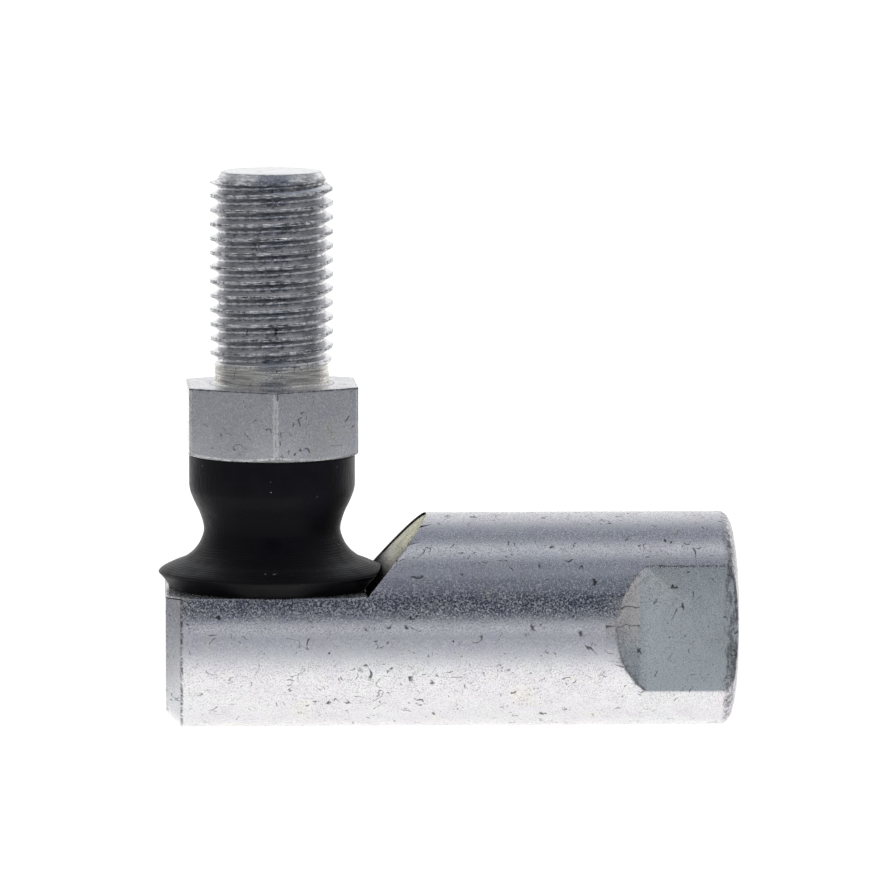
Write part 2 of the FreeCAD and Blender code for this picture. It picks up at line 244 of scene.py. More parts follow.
def platedSteel(name, marks, dents=1.0, matt=1.0):
    # Bright zinc on turned, milled or cold-formed steel, tumbled in a barrel: a soft mirror broken up by a
    # fine grain, clouds of faint blue, mauve and straw where the passivation is thicker, small dark pits and
    # hair scratches, and edges that are knocked and hold dirt. marks adds what only one piece has.
    material, tree, place = newMaterial(name)
    p = plating
    cloud = addNode(tree, "TexNoise", {}, {"Vector": place, "Scale": 1 / (p["cloud"] * mm), "Detail": 3.0,
        "Roughness": 0.55})
    tint = setRamp(addNode(tree, "ValToRGB", {}, {"Fac": cloud}), [
        (0.3, srgb(p["cool"])), (0.45, srgb(p["base"])), (0.58, srgb(p["mauve"])), (0.72, srgb(p["warm"]))])
    colour = addNode(tree, "Mix", coloured, {"Factor": p["bloom"], "A": srgb(p["base"]), "B": tint})
    grain = addNode(tree, "TexNoise", {}, {"Vector": place, "Scale": 1 / (p["grain"] * mm), "Detail": 3.0,
        "Roughness": 0.7})
    spots = addNode(tree, "MapRange", eased, {
        "Value": addNode(tree, "TexNoise", {}, {"Vector": place, "Scale": 1 / (p["grain"] * 0.85 * mm),
            "Roughness": 0.7, "Distortion": 0.8}), "From Min": 0.49, "From Max": 0.6})
    shadeOf = addNode(tree, "MapRange", eased, {
        "Value": addNode(tree, "TexNoise", {}, {"Vector": place, "Scale": 1 / (p["grain"] * 1.3 * mm),
            "Detail": 3.0, "Roughness": 0.75}), "From Min": 0.3, "From Max": 0.66,
        "To Min": p["grainShade"], "To Max": 0.0})
    colour = addNode(tree, "Mix", coloured, {"Factor": shadeOf, "A": colour, "B": srgb("#6A6B73")})
    # pits, and scratches where a bent noise crosses its middle value, both only in some places
    where = addNode(tree, "MapRange", eased, {
        "Value": addNode(tree, "TexNoise", {}, {"Vector": place, "Scale": 1 / (2.4 * mm), "Roughness": 0.6}),
        "From Min": 0.46, "From Max": 0.6})
    pit = addNode(tree, "Math", multiply, {
        0: addNode(tree, "MapRange", eased, {
            "Value": addNode(tree, "TexNoise", {}, {"Vector": place, "Scale": 1 / (0.5 * mm),
                "Detail": 3.0, "Roughness": 0.7, "Distortion": 1.8}), "From Min": 0.62, "From Max": 0.68}),
        1: where})
    hair = addNode(tree, "TexNoise", {}, {"Vector": place, "Scale": 1 / (1.9 * mm), "Detail": 1.0,
        "Roughness": 0.4, "Distortion": 1.2})
    line = addNode(tree, "MapRange", eased, {
        "Value": addNode(tree, "Math", absolute, {0: addNode(tree, "Math", subtract, {0: hair, 1: 0.5})}),
        "From Min": 0.0, "From Max": 0.03, "To Min": 1.0, "To Max": 0.0})
    scratch = addNode(tree, "Math", multiply, {0: line,
        1: addNode(tree, "MapRange", eased, {
            "Value": addNode(tree, "TexNoise", {}, {"Vector": place, "Scale": 1 / (1.3 * mm),
                "Roughness": 0.6}), "From Min": 0.57, "From Max": 0.63})})
    flaw = addNode(tree, "Math", larger, {0: addNode(tree, "Math", multiply, {0: pit, 1: 0.8}),
        1: addNode(tree, "Math", multiply, {0: scratch, 1: 0.85})})
    # edges: where the rounded normal parts from the true one
    geometry = addNode(tree, "NewGeometry", output="all")
    soft = addNode(tree, "Bevel", {"samples": 4}, {"Radius": p["edgeWidth"] * mm})
    parting = addNode(tree, "VectorMath", {"operation": "DOT_PRODUCT"}, {0: soft,
        1: geometry["True Normal"]})
    edge = addNode(tree, "MapRange", eased, {"Value": parting, "From Min": 0.955, "From Max": 0.995,
        "To Min": 1.0, "To Max": 0.0})
    broken = addNode(tree, "MapRange", eased, {
        "Value": addNode(tree, "TexNoise", {}, {"Vector": place, "Scale": 1 / (0.5 * mm), "Detail": 4.0,
            "Roughness": 0.75}), "From Min": 0.4, "From Max": 0.6})
    edge = addNode(tree, "Math", multiply, {0: edge, 1: broken})
    flaw = addNode(tree, "Math", larger, {0: flaw, 1: addNode(tree, "Math", multiply, {0: edge, 1: 0.85})})
    rough = addNode(tree, "MapRange", eased, {
        "Value": addNode(tree, "TexNoise", {}, {"Vector": place, "Scale": 1 / (1.6 * mm), "Detail": 3.0,
            "Roughness": 0.6}), "From Min": 0.3, "From Max": 0.7, "To Min": p["roughness"][0],
        "To Max": p["roughness"][1]})
    rough = addNode(tree, "Math", add, {0: rough,
        1: addNode(tree, "Math", multiply, {0: spots, 1: p["mattSpots"] * matt})})
    colour = addNode(tree, "Mix", coloured, {
        "Factor": addNode(tree, "Math", multiply, {0: spots, 1: 0.65}), "A": colour, "B": srgb("#FFFFFF")})
    colour, rough, streaks, more = marks(tree, place, geometry, colour, rough)
    colour = addNode(tree, "Mix", coloured, {"Factor": flaw, "A": colour, "B": srgb(p["dirt"])})
    fine = addNode(tree, "Bump", {}, {"Height": grain, "Strength": 1.0,
        "Distance": p["grainHeight"] * dents * mm})
    lined = addNode(tree, "Bump", {}, {"Height": streaks, "Normal": fine, "Strength": 1.0,
        "Distance": 0.03 * mm})
    pitted = addNode(tree, "Bump", {"invert": True}, {"Height": flaw, "Normal": lined, "Strength": 0.6,
        "Distance": 0.03 * mm})
    shader = addNode(tree, "BsdfPrincipled", {}, {"Base Color": colour, "Roughness": rough,
        "Normal": pitted, **more, "Metallic": 1.0})
    addNode(tree, "OutputMaterial", {}, {"Surface": shader})
    return material


housing = {
    "leftChamfer": 1.4 * mm, "rightRound": 1.0 * mm,
    "seatHeight": 3.05 * mm, "seatToSlope": 8.25 * mm, "slopeAngle": 50,
    "wrenchAcross": 15.4 * mm, "wrenchLength": 11.03 * mm, "cutterRadius": 7.15 * mm,
    "edge": 0.11 * mm,        # how far the barrel plating has rounded the edges
    "columns": 224, "rows": 44,
    "socketRadius": 7.4 * mm, "socketMouth": 0.15 * mm,
    "ringGroove": (1.87 * mm, 2.61 * mm, 7.85 * mm),
    "threadMajor": 5.556 * mm, "threadDepth": 25.337 * mm, "threadMouth": 0.5 * mm, "pitch": 1.27 * mm,
    "drillPointAngle": 118, "threadSteps": 12, "threadColumns": 96,
}


def barMarks(tree, place, geometry, colour, rough):
    # The flats have upright milling lines, a greener bloom and a painted highlight where the cutter came out.
    # The slope has a painted reflection, pale straw above and dark mauve below, and is dark along its far
    # side.
    at = addNode(tree, "SeparateXYZ", {}, {"Vector": place}, "all")
    facing = addNode(tree, "SeparateXYZ", {}, {"Vector": geometry["True Normal"]}, "all")
    flat = addNode(tree, "Math", multiply, {
        0: addNode(tree, "MapRange", eased, {"Value": addNode(tree, "Math", absolute, {0: facing["Y"]}),
            "From Min": 0.99, "From Max": 0.998}),
        1: addNode(tree, "Math", above, {0: at["X"], 1: -12 * mm})})
    upright = addNode(tree, "Mapping", {}, {"Vector": place, "Scale": (1.0, 1.0, 0.09)})
    lines = addNode(tree, "TexNoise", {}, {"Vector": upright, "Scale": 1 / (0.16 * mm), "Detail": 3.0,
        "Roughness": 0.7})
    milled = addNode(tree, "Mix", coloured, {
        "Factor": addNode(tree, "MapRange", eased, {"Value": lines, "From Min": 0.25, "From Max": 0.75,
            "To Max": 0.4}), "A": colour, "B": srgb("#99A3A8")})
    milled = addNode(tree, "Mix", coloured, {"Factor": 0.62, "A": milled,
        "B": addNode(tree, "Mix", coloured, {"Factor": lines, "A": srgb("#B9C3C6"), "B": srgb("#E4ECEC")})})
    # where the cutter came out: a painted highlight, paler towards the top, and the tool marks that cross it
    runoutHighlightAndMarks = addNode(tree, "Math", multiply, {0: addNode(tree, "Math", below, {0: at["X"], 1: -8.9 * mm}),
        1: addNode(tree, "MapRange", eased, {"Value": at["Z"], "From Min": -2 * mm, "From Max": 0.5 * mm})})
    milled = addNode(tree, "Mix", coloured, {
        "Factor": addNode(tree, "Math", multiply, {0: runoutHighlightAndMarks, 1: 0.45}), "A": milled, "B": srgb("#EFE2DE")})
    # two bent tool marks cross that patch
    bent = addNode(tree, "Math", subtract, {0: at["Z"],
        1: addNode(tree, "Math", multiply, {
            0: addNode(tree, "TexNoise", {}, {"Vector": place, "Scale": 1 / (1.5 * mm), "Roughness": 0.6}),
            1: 1.6 * mm})})
    for level in (1.1 * mm, -0.4 * mm):
        off = addNode(tree, "Math", absolute, {0: addNode(tree, "Math", subtract, {0: bent, 1: level})})
        toolMark = addNode(tree, "Math", multiply, {
            0: addNode(tree, "MapRange", eased, {"Value": off, "From Min": 0.03 * mm,
                "From Max": 0.09 * mm, "To Min": 0.7, "To Max": 0.0}), 1: runoutHighlightAndMarks})
        milled = addNode(tree, "Mix", coloured, {"Factor": toolMark, "A": milled, "B": srgb("#4A484E")})
    colour = addNode(tree, "Mix", coloured, {"Factor": flat, "A": colour, "B": milled})
    slope = addNode(tree, "Math", multiply, {0: addNode(tree, "Math", below, {0: facing["X"], 1: -0.5}),
        1: addNode(tree, "Math", above, {0: facing["Z"], 1: 0.3})})
    # a painted reflection on the slope: dark mauve low down by the boot, pale straw higher up
    height = addNode(tree, "MapRange", eased, {"Value": at["Z"], "From Min": 3.5 * mm, "From Max": 8.5 * mm})
    slopeReflectionAndDarkSide = addNode(tree, "Mix", coloured, {"Factor": height, "A": srgb("#5D5A66"), "B": srgb("#D3D1B4")})
    chord = addNode(tree, "Math", multiply, {0: at["Z"], 1: at["Z"]})
    chord = addNode(tree, "Math", power, {
        0: addNode(tree, "Math", larger, {
            0: addNode(tree, "Math", subtract, {0: barRadius ** 2, 1: chord}), 1: 1e-08}), 1: 0.5})
    farSide = addNode(tree, "MapRange", eased, {
        "Value": addNode(tree, "Math", subtract, {0: chord, 1: at["Y"]}), "From Min": 1.8 * mm,
        "From Max": 2.6 * mm, "To Min": 1.0, "To Max": 0.0})
    farSide = addNode(tree, "Math", multiply, {
        0: addNode(tree, "Math", larger, {0: farSide,
            1: addNode(tree, "MapRange", eased, {"Value": height, "From Min": 0.0, "From Max": 0.5,
                "To Min": 1.0, "To Max": 0.0})}), 1: slope})
    slopeReflectionAndDarkSide = addNode(tree, "Mix", coloured, {"Factor": farSide, "A": slopeReflectionAndDarkSide, "B": srgb("#17161A")})
    colour = addNode(tree, "Mix", coloured, {"Factor": slope, "A": colour, "B": slopeReflectionAndDarkSide})
    # a scuffed line where the chamfer starts, and the turned end scored and dirty
    scuffed = addNode(tree, "MapRange", eased, {
        "Value": addNode(tree, "TexNoise", {}, {"Vector": place, "Scale": 1 / (0.45 * mm), "Detail": 4.0,
            "Roughness": 0.75}), "From Min": 0.42, "From Max": 0.56})
    fromChamfer = addNode(tree, "Math", absolute, {
        0: addNode(tree, "Math", add, {0: at["X"], 1: -barLow.x - housing["leftChamfer"]})})
    line = addNode(tree, "Math", multiply, {
        0: addNode(tree, "MapRange", eased, {"Value": fromChamfer, "From Min": 0.05 * mm,
            "From Max": 0.17 * mm, "To Min": 0.75, "To Max": 0.0}), 1: scuffed})
    colour = addNode(tree, "Mix", coloured, {"Factor": line, "A": colour, "B": srgb("#3A393E")})
    scored = addNode(tree, "Mapping", {}, {"Vector": place, "Rotation": (0, 0.6, 0), "Scale": (1, 1, 0.3)})
    atEnd = addNode(tree, "MapRange", eased, {"Value": at["X"], "From Min": -1.6 * mm,
        "From Max": -1.1 * mm})
    score = addNode(tree, "MapRange", eased, {
        "Value": addNode(tree, "TexNoise", {}, {"Vector": scored, "Scale": 1 / (0.3 * mm), "Detail": 3.0,
            "Roughness": 0.7}), "From Min": 0.4, "From Max": 0.62, "To Max": 0.62})
    colour = addNode(tree, "Mix", coloured, {
        "Factor": addNode(tree, "Math", multiply, {0: atEnd, 1: score}), "A": colour, "B": srgb("#4B4A52")})
    streaks = addNode(tree, "Math", multiply, {0: lines, 1: flat})
    rough = addNode(tree, "Math", add, {0: rough, 1: addNode(tree, "Math", multiply, {0: slope, 1: 0.25})})
    rough = addNode(tree, "Math", add, {0: rough, 1: addNode(tree, "Math", multiply, {0: flat, 1: 0.08})})
    return colour, rough, streaks, {
        "Specular Tint": addNode(tree, "Mix", coloured, {"Factor": farSide, "A": (1.0, 1.0, 1.0, 1.0),
            "B": (0.0, 0.0, 0.0, 1.0)})}


def threadWave(turns, flat=0.125, depth=0.6134, pitch=1.27 * mm):
    # how far below the crest a 60 degree thread's surface is: nothing on the crest's flat, then a flank that
    # falls 1.732 for each unit along, down to the root; turns counts pitches from a crest
    away = np.abs(turns - np.round(turns))
    return np.clip((away - flat / 2) * math.tan(math.radians(60)), 0, depth) * pitch


def makeHousing():
    h = housing
    angles = np.linspace(0, 2 * math.pi, h["columns"], endpoint=False)[None, :]
    left, right = barLow.x, barHigh.x
    rounded = np.array([(0, 3.3), (0.1, 2.4), (0.26, 1.5), (0.44, 0.85), (0.75, 0.3), (1.2, 0)])
    rounded = rounded * h["rightRound"]
    # rows along the bar keep its faces short, so that the shading at the flats' edges stays there
    start, stop = left + h["leftChamfer"], right - 1.4 * h["rightRound"]
    rows = np.linspace(start, stop, h["rows"])
    barrel = np.column_stack([rows, np.full(h["rows"], barRadius)])
    profile = np.vstack([[(left, barRadius - h["leftChamfer"])], barrel, (right, barRadius) - rounded[::-1]])
    bar = surface("housing_bar", aroundBar(profile[:, 1:], profile[:, :1], angles))
    over = 4 * mm
    slopeStart = ballX + h["seatToSlope"]
    rise = barRadius + over - h["seatHeight"]
    slopeEnd = slopeStart + rise / math.tan(math.radians(h["slopeAngle"]))
    seat = prism("seat", [(left - over, h["seatHeight"]), (slopeStart, h["seatHeight"]),
                          (slopeEnd, barRadius + over), (left - over, barRadius + over)], -3 * over, 3 * over)
    # a cutter that stands square to the flat leaves its inner end round
    radius, face = h["cutterRadius"], h["wrenchAcross"] / 2
    turn = np.linspace(math.pi / 2, 3 * math.pi / 2, 49)
    centre = radius - h["wrenchLength"]
    outline = np.vstack([np.column_stack([centre + radius * np.cos(turn), radius * np.sin(turn)]),
                         [(over, -radius), (over, radius)]])
    front = prism("frontFlat", outline, -barRadius - over, -face)
    back = prism("backFlat", outline, face, barRadius + over)
    cutAway(bar, [seat, front, back])
    edges = bar.modifiers.new("edges", "BEVEL")
    edges.width = h["edge"]
    edges.segments = 2
    edges.limit_method = "ANGLE"
    edges.angle_limit = math.radians(20)
    edges.use_clamp_overlap = False
    bake(bar)
    return bar


def socketCutter():
    # the socket: a ball end below the bar's axis, a straight bore above it, a groove for the ring, and a
    # broken mouth
    h = housing
    radius = h["socketRadius"]
    low, high, wide = h["ringGroove"]
    bowl = np.linspace(-math.pi / 2 * 0.97, 0, 20)
    profile = [(radius * math.cos(a), radius * math.sin(a)) for a in bowl]
    top = h["seatHeight"]
    mouth = h["socketMouth"]
    profile += [(radius, low), (wide, low), (wide, high), (radius, high), (radius, top - mouth),
                (radius + 2 * mouth, top + mouth), (radius + 2 * mouth, top + 2 * mm)]
    profile = np.array(profile)
    angles = np.linspace(0, 2 * math.pi, 128, endpoint=False)[None, :]
    return surface("socket", aroundUp(profile[:, :1], profile[:, 1:], angles))


def threadCutter():
    # the rod thread: r = major radius less the thread wave of (x / pitch - angle / turn), fading to the
    # drill's bore at the bottom, then the drill's cone
    h = housing
    count = int(h["threadDepth"] / h["pitch"] * h["threadSteps"])
    along = np.linspace(-h["threadDepth"], 0.3 * mm, count)[:, None]
    angles = np.linspace(0, 2 * math.pi, h["threadColumns"], endpoint=False)[None, :]
    minor = h["threadMajor"] - 0.5413 * h["pitch"]
    # the groove of a female thread is the crest of the screw that fits it
    radius = h["threadMajor"] - threadWave(along / h["pitch"] - angles / (2 * math.pi), 0.125, 0.5413)
    cut = smoothStep(along, -h["threadDepth"] + h["pitch"], -h["threadDepth"] + 3 * h["pitch"])
    radius = minor + (radius - minor) * cut
    mouth = h["threadMajor"] + h["threadMouth"] + along
    radius = np.maximum(radius, np.minimum(mouth, h["threadMajor"] + h["threadMouth"] * 1.6))
    cone = minor / math.tan(math.radians(h["drillPointAngle"] / 2))
    tip = aroundBar(np.full((1, 1), 0.02 * mm), np.full((1, 1), -h["threadDepth"] - cone), angles)
    wall = aroundBar(radius, along, angles)
    end = aroundBar(radius[-1:], np.full((1, 1), 2 * mm), angles)
    return surface("threadCut", np.concatenate([tip, wall, end]))


bar = makeHousing()
cutAway(bar, [socketCutter(), threadCutter()])
shade(bar, platedSteel("zincPlatedTurnedSteel", barMarks))
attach(bar, "housing")
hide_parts("housing")
print("housing made:", len(bar.data.polygons), "faces")


stud = {
    "ball": 6.35 * mm, "neck": 4.0 * mm,
    "hexAcross": 15.0 * mm, "hexBottom": 14.9 * mm, "hexHeight": 6.3 * mm, "hexTurn": 1.5,
    "hexCorner": 0.30 * mm,   # the radius of the upright corners
    "hexFace": 0.985,         # the turned face's share of the width across flats
    "hexAngle": 17,           # the corners are turned off at the bottom only
    "edge": 0.10 * mm, "lowEdge": 0.24 * mm,
    "major": 5.485 * mm, "pitch": 1.27 * mm, "depth": 0.56, "crest": 0.20,
    "seam": 0.10 * mm,        # how deep the seam is that rolling leaves along the crest
    "threadPhase": 0.36,      # turns
    "crestWear": 0.035 * mm,  # how uneven the rolled crests are
    "plain": 5.08 * mm,       # the blank's radius, left plain below the rolled thread
    "threadStart": 1.9 * mm,  # above the hexagon
    "topChamfer": 0.95 * mm, "topRadius": 4.4 * mm,
    "fillet": 0.35 * mm,
    "threadSteps": 26, "sideColumns": 24,
}


def studMarks(tree, place, geometry, colour, rough):
    # The rolled thread's crests are scuffed bright in places, and the hexagon's upright corners have a
    # painted highlight.
    fromAxis = addNode(tree, "VectorMath", {"operation": "SUBTRACT"}, {0: place, 1: (ballX, 0, 0)})
    across = addNode(tree, "VectorMath", {"operation": "MULTIPLY"}, {0: fromAxis, 1: (1, 1, 0)})
    radius = addNode(tree, "VectorMath", {"operation": "LENGTH"}, {0: across})
    fromAxisZ = addNode(tree, "SeparateXYZ", {}, {"Vector": place}, "Z")
    facingZ = addNode(tree, "SeparateXYZ", {}, {"Vector": geometry["True Normal"]}, "Z")
    drawn = addNode(tree, "Mapping", {}, {"Vector": place, "Scale": (0.3, 0.3, 1.0)})
    ragged = addNode(tree, "TexNoise", {}, {"Vector": drawn, "Scale": 1 / (0.28 * mm), "Detail": 3.0,
        "Roughness": 0.7})
    reach = addNode(tree, "Math", add, {0: radius,
        1: addNode(tree, "Math", multiply, {0: ragged, 1: 0.22 * mm})})
    crest = addNode(tree, "Math", multiply, {
        0: addNode(tree, "MapRange", eased, {"Value": reach, "From Min": 5.5 * mm, "From Max": 5.56 * mm}),
        1: addNode(tree, "Math", below, {0: radius, 1: 5.6 * mm})})
    # a painted highlight along the hexagon's upright corners
    corner = addNode(tree, "MapRange", eased, {"Value": reach, "From Min": 8.61 * mm, "From Max": 8.66 * mm})
    # the hexagon's lower edge is burred bright, and a dark line is drawn along its upper edge
    upright = addNode(tree, "MapRange", eased, {"Value": addNode(tree, "Math", absolute, {0: facingZ}),
        "From Min": 0.15, "From Max": 0.45, "To Min": 1.0, "To Max": 0.0})
    onHex = addNode(tree, "Math", multiply, {0: addNode(tree, "Math", above, {0: radius, 1: 7 * mm}),
        1: upright})
    rise = addNode(tree, "Math", subtract, {0: fromAxisZ,
        1: addNode(tree, "Math", add, {0: addNode(tree, "Math", multiply, {0: radius, 1: 0.3057}),
            1: 14.9 * mm - 7.3875 * mm * 0.3057})})
    rise = addNode(tree, "Math", add, {0: rise,
        1: addNode(tree, "Math", multiply, {0: ragged, 1: 0.18 * mm})})
    burr = addNode(tree, "MapRange", eased, {"Value": rise, "From Min": 0.26 * mm, "From Max": 0.31 * mm,
        "To Min": 1.0, "To Max": 0.0})
    burr = addNode(tree, "Math", multiply, {0: addNode(tree, "Math", above, {0: radius, 1: 7 * mm}),
        1: burr})
    rim = addNode(tree, "Math", multiply, {
        0: addNode(tree, "MapRange", eased, {
            "Value": addNode(tree, "Math", add, {0: fromAxisZ,
                1: addNode(tree, "Math", multiply, {0: ragged, 1: 0.3 * mm})}), "From Min": 21.18 * mm,
            "From Max": 21.23 * mm}), 1: onHex})
    bright = addNode(tree, "Math", larger, {
        0: addNode(tree, "Math", larger, {0: addNode(tree, "Math", multiply, {0: crest, 1: 0.8}), 1: corner}),
        1: burr})
    colour = addNode(tree, "Mix", coloured, {"Factor": bright, "A": colour, "B": srgb("#FFFFFF")})
    colour = addNode(tree, "Mix", coloured, {"Factor": addNode(tree, "Math", multiply, {0: rim, 1: 0.6}),
        "A": colour, "B": srgb("#2E2D31")})
    # rolling burnishes the thread, and each turn's downward-facing flank is darkened with painted shade
    onThread = addNode(tree, "Math", multiply, {0: addNode(tree, "Math", below, {0: radius, 1: 5.6 * mm}),
        1: addNode(tree, "Math", above, {0: fromAxisZ, 1: 22.8 * mm})})
    rough = addNode(tree, "Math", multiply, {0: rough,
        1: addNode(tree, "Math", add, {0: addNode(tree, "Math", multiply, {0: onThread, 1: -0.6}), 1: 1.0})})
    colour = addNode(tree, "Mix", coloured, {
        "Factor": addNode(tree, "Math", multiply, {0: onThread, 1: 0.8}), "A": colour,
        "B": srgb("#FAFAFC")})
    # painted shade on the downward-facing flank of each turn
    under = addNode(tree, "Math", multiply, {
        0: addNode(tree, "MapRange", eased, {"Value": facingZ, "From Min": -0.8, "From Max": -0.45,
            "To Min": 0.72, "To Max": 0.0}), 1: onThread})
    colour = addNode(tree, "Mix", coloured, {"Factor": under, "A": colour, "B": srgb("#3A3B42")})
    rough = addNode(tree, "Math", add, {0: rough, 1: addNode(tree, "Math", multiply, {0: bright, 1: 0.45})})
    # the turned end is scuffed, most where the first turn begins
    scuff = addNode(tree, "MapRange", eased, {
        "Value": addNode(tree, "TexNoise", {}, {"Vector": drawn, "Scale": 1 / (0.35 * mm), "Detail": 4.0,
            "Roughness": 0.75}), "From Min": 0.38, "From Max": 0.6})
    nearEnd = addNode(tree, "Math", multiply, {
        0: addNode(tree, "MapRange", eased, {"Value": fromAxisZ, "From Min": 38.8 * mm, "From Max": 39 * mm}),
        1: addNode(tree, "MapRange", eased, {"Value": fromAxisZ, "From Min": 39.2 * mm,
            "From Max": 40 * mm, "To Min": 1.0, "To Max": 0.45})})
    aside = addNode(tree, "MapRange", eased, {"Value": facingZ, "From Min": 0.85, "From Max": 0.95,
        "To Min": 0.75, "To Max": 0.0})
    colour = addNode(tree, "Mix", coloured, {
        "Factor": addNode(tree, "Math", multiply, {
            0: addNode(tree, "Math", multiply, {0: scuff, 1: nearEnd}), 1: aside}), "A": colour,
        "B": srgb("#3A3A40")})
    # below the thread the shank is as it was turned
    shank = addNode(tree, "Math", multiply, {
        0: addNode(tree, "MapRange", eased, {"Value": fromAxisZ, "From Min": 22.8 * mm,
            "From Max": 23.4 * mm, "To Min": 1.0, "To Max": 0.0}),
        1: addNode(tree, "Math", above, {0: fromAxisZ, 1: 21.3 * mm})})
    lathe = addNode(tree, "Mapping", {}, {"Vector": place, "Scale": (0.05, 0.05, 1.0)})
    turned = addNode(tree, "TexNoise", {}, {"Vector": lathe, "Scale": 1 / (0.16 * mm), "Roughness": 0.7})
    colour = addNode(tree, "Mix", coloured, {
        "Factor": addNode(tree, "Math", multiply, {0: shank, 1: 0.75}), "A": colour,
        "B": addNode(tree, "Mix", coloured, {
            "Factor": addNode(tree, "MapRange", eased, {"Value": turned, "From Min": 0.3, "From Max": 0.7}),
            "A": srgb("#8C8980"), "B": srgb("#FFFBEF")})})
    level = (0.5, 0.5, 0.5, 1.0)
    return colour, rough, addNode(tree, "Mix", coloured, {"Factor": shank, "A": level, "B": turned}), {}


def hexRadius(angles):
    # distance from the axis to a hexagon's outline: across / 2 / cos(angle from the nearest flat's middle),
    # with each corner replaced by an arc of its own radius
    s = stud
    half = s["hexAcross"] / 2
    turned = angles - math.radians(s["hexTurn"]) + math.pi / 6 + math.pi / 2
    fromFlat = (turned + math.pi / 6) % (math.pi / 3) - math.pi / 6
    straight = half / np.cos(fromFlat)
    fromCorner = math.pi / 6 - np.abs(fromFlat)
    centre = (half - s["hexCorner"]) / math.cos(math.pi / 6)
    inside = np.maximum(s["hexCorner"] ** 2 - (centre * np.sin(fromCorner)) ** 2, 0)
    arc = centre * np.cos(fromCorner) + np.sqrt(inside)
    tangent = math.pi / 6 - math.atan((half - s["hexCorner"]) * math.tan(math.pi / 6) / half)
    return np.where(fromCorner < tangent, arc, straight)


def studAngles():
    # column angles, closer together at the hexagon's corners
    s = stud
    count = s["sideColumns"]
    even = np.linspace(-1, 1, count, endpoint=False)
    side = np.sign(even) * np.abs(even) ** 0.72 * math.pi / 6
    middles = np.arange(6) * math.pi / 3
    return (middles[:, None] + side[None, :]).ravel() + math.radians(s["hexTurn"]) - math.pi / 6 - math.pi / 2


def makeStud():
    s = stud
    angles = studAngles()[None, :]
    columns = angles.shape[1]
    ones = np.ones((1, columns))
    meeting = math.asin(s["neck"] / s["ball"])
    bow = np.linspace(math.pi * 0.985, meeting, 40)[:, None]
    ball = aroundUp(s["ball"] * np.sin(bow), s["ball"] * np.cos(bow), angles)
    side = hexRadius(angles) * ones
    face = s["hexAcross"] / 2 * s["hexFace"]
    fall = (side - face) * math.tan(math.radians(s["hexAngle"]))
    bottom, top = s["hexBottom"], s["hexBottom"] + s["hexHeight"]
    fillet = s["fillet"]
    corners = [
        (s["neck"] * ones, (s["ball"] * math.cos(meeting)) * ones),
        (s["neck"] * ones, bottom * ones),
        (face * ones, bottom * ones),
        (side, bottom + fall),
        (side, top * ones),
        ((s["plain"] + fillet) * ones, top * ones),
    ]
    rows = np.concatenate([aroundUp(r, z, angles) for r, z in corners])
    rows = roundedRows(rows, [s["edge"], s["edge"], s["lowEdge"], s["edge"]])
    turn = np.linspace(0, math.pi / 2, 6)[1:, None]
    foot = aroundUp(s["plain"] + fillet * (1 - np.sin(turn)), top + fillet * (1 - np.cos(turn)), angles)
    end = studTop
    count = int((end - top - fillet) / s["pitch"] * s["threadSteps"])
    height = np.linspace(top + fillet, end, count)[1:-1, None]
    wave = threadWave(height / s["pitch"] - angles / (2 * math.pi) - s["threadPhase"], s["crest"], s["depth"])
    # the crests aren't all equally full: a slow unevenness along the helix
    travel = 2 * math.pi * height / s["pitch"]
    uneven = np.sin(2.3 * angles + 0.71 * travel) * np.sin(5 * angles - 0.37 * travel)
    radius = s["major"] - wave - s["crestWear"] * (0.5 + 0.5 * uneven) * (wave < 0.15 * s["pitch"])
    # the seam: a small dip at the middle of the crest's flat, deeper in some places than in others
    turns = height / s["pitch"] - angles / (2 * math.pi) - s["threadPhase"]
    middle = np.clip(1 - np.abs(turns - np.round(turns)) / (0.3 * s["crest"]), 0, 1)
    radius = radius - s["seam"] * middle * (0.55 + 0.45 * np.sin(3.1 * angles + 1.7 * travel))
    start = top + s["threadStart"]
    begun = smoothStep(height, start - s["pitch"] * 0.5, start + s["pitch"] * 0.6)
    radius = s["plain"] + (radius - s["plain"]) * begun
    # the shank's end is turned to a cone, and the first crests only fill out below it
    cone = s["topRadius"] + (end - height) * 0.62
    full = s["topRadius"] + (end - height) * 1.05
    radius = np.where(height > end - s["topChamfer"], np.minimum(radius, cone), np.minimum(radius, full))
    shank = aroundUp(radius, height * ones, angles)
    lid = aroundUp(np.array([[s["topRadius"]], [s["topRadius"] - 0.12 * mm]]),
                   np.array([[end - 0.03 * mm], [end]]), angles)
    return surface("ball_stud_piece", np.concatenate([ball, rows[1:], foot, shank, lid]))


studPiece = makeStud()
shade(studPiece, platedSteel("zincPlatedColdFormedSteel", studMarks, 1.0, 0.55), 30)
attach(studPiece, "stud")
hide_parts("ball_stud")
print("ball stud made:", len(studPiece.data.polygons), "faces")


rubber = {
    "body": "#0B090F", "worn": "#15121A", "dust": "#C9C6C6", "lip": "#040305",
    "roughness": (0.40, 0.60), "sheen": 0.60, "specular": 0.14,
    "ringPitch": 0.42,        # mm, of the rings that the mould's tool left
    "lipTip": 4.42,           # mm, the height below which it is the lip's own face
}


